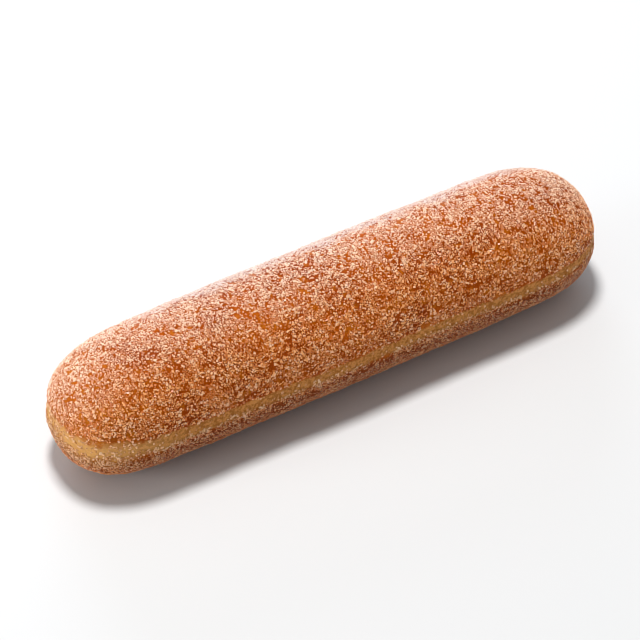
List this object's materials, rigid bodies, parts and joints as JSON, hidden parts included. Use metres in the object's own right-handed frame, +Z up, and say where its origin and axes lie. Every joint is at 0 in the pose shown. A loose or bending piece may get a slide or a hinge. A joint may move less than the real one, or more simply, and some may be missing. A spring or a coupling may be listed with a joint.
{
  "type": "sugared doughnut stick",
  "caption": "Straight bar of raised dough with round ends, fried brown above and below a pale waistband, coated in coarse sugar, with a small flat foot to lie on.",
  "frame": {"origin": "under the middle of the bar, on the table it lies on, at the centre of the underside of its box", "axes": "+X along the bar, +Y across it, +Z up"},
  "size_m": [0.167, 0.04, 0.038],
  "materials": {
    "crust": "fried dough, orange brown above and darker below, golden at the waistband, satin",
    "sugar": "coarse clear sugar crystals, about half a millimetre across, glossy"
  },
  "bodies": {
    "root": {"doughnut_stick": "crust"}
  },
  "joints": []
}
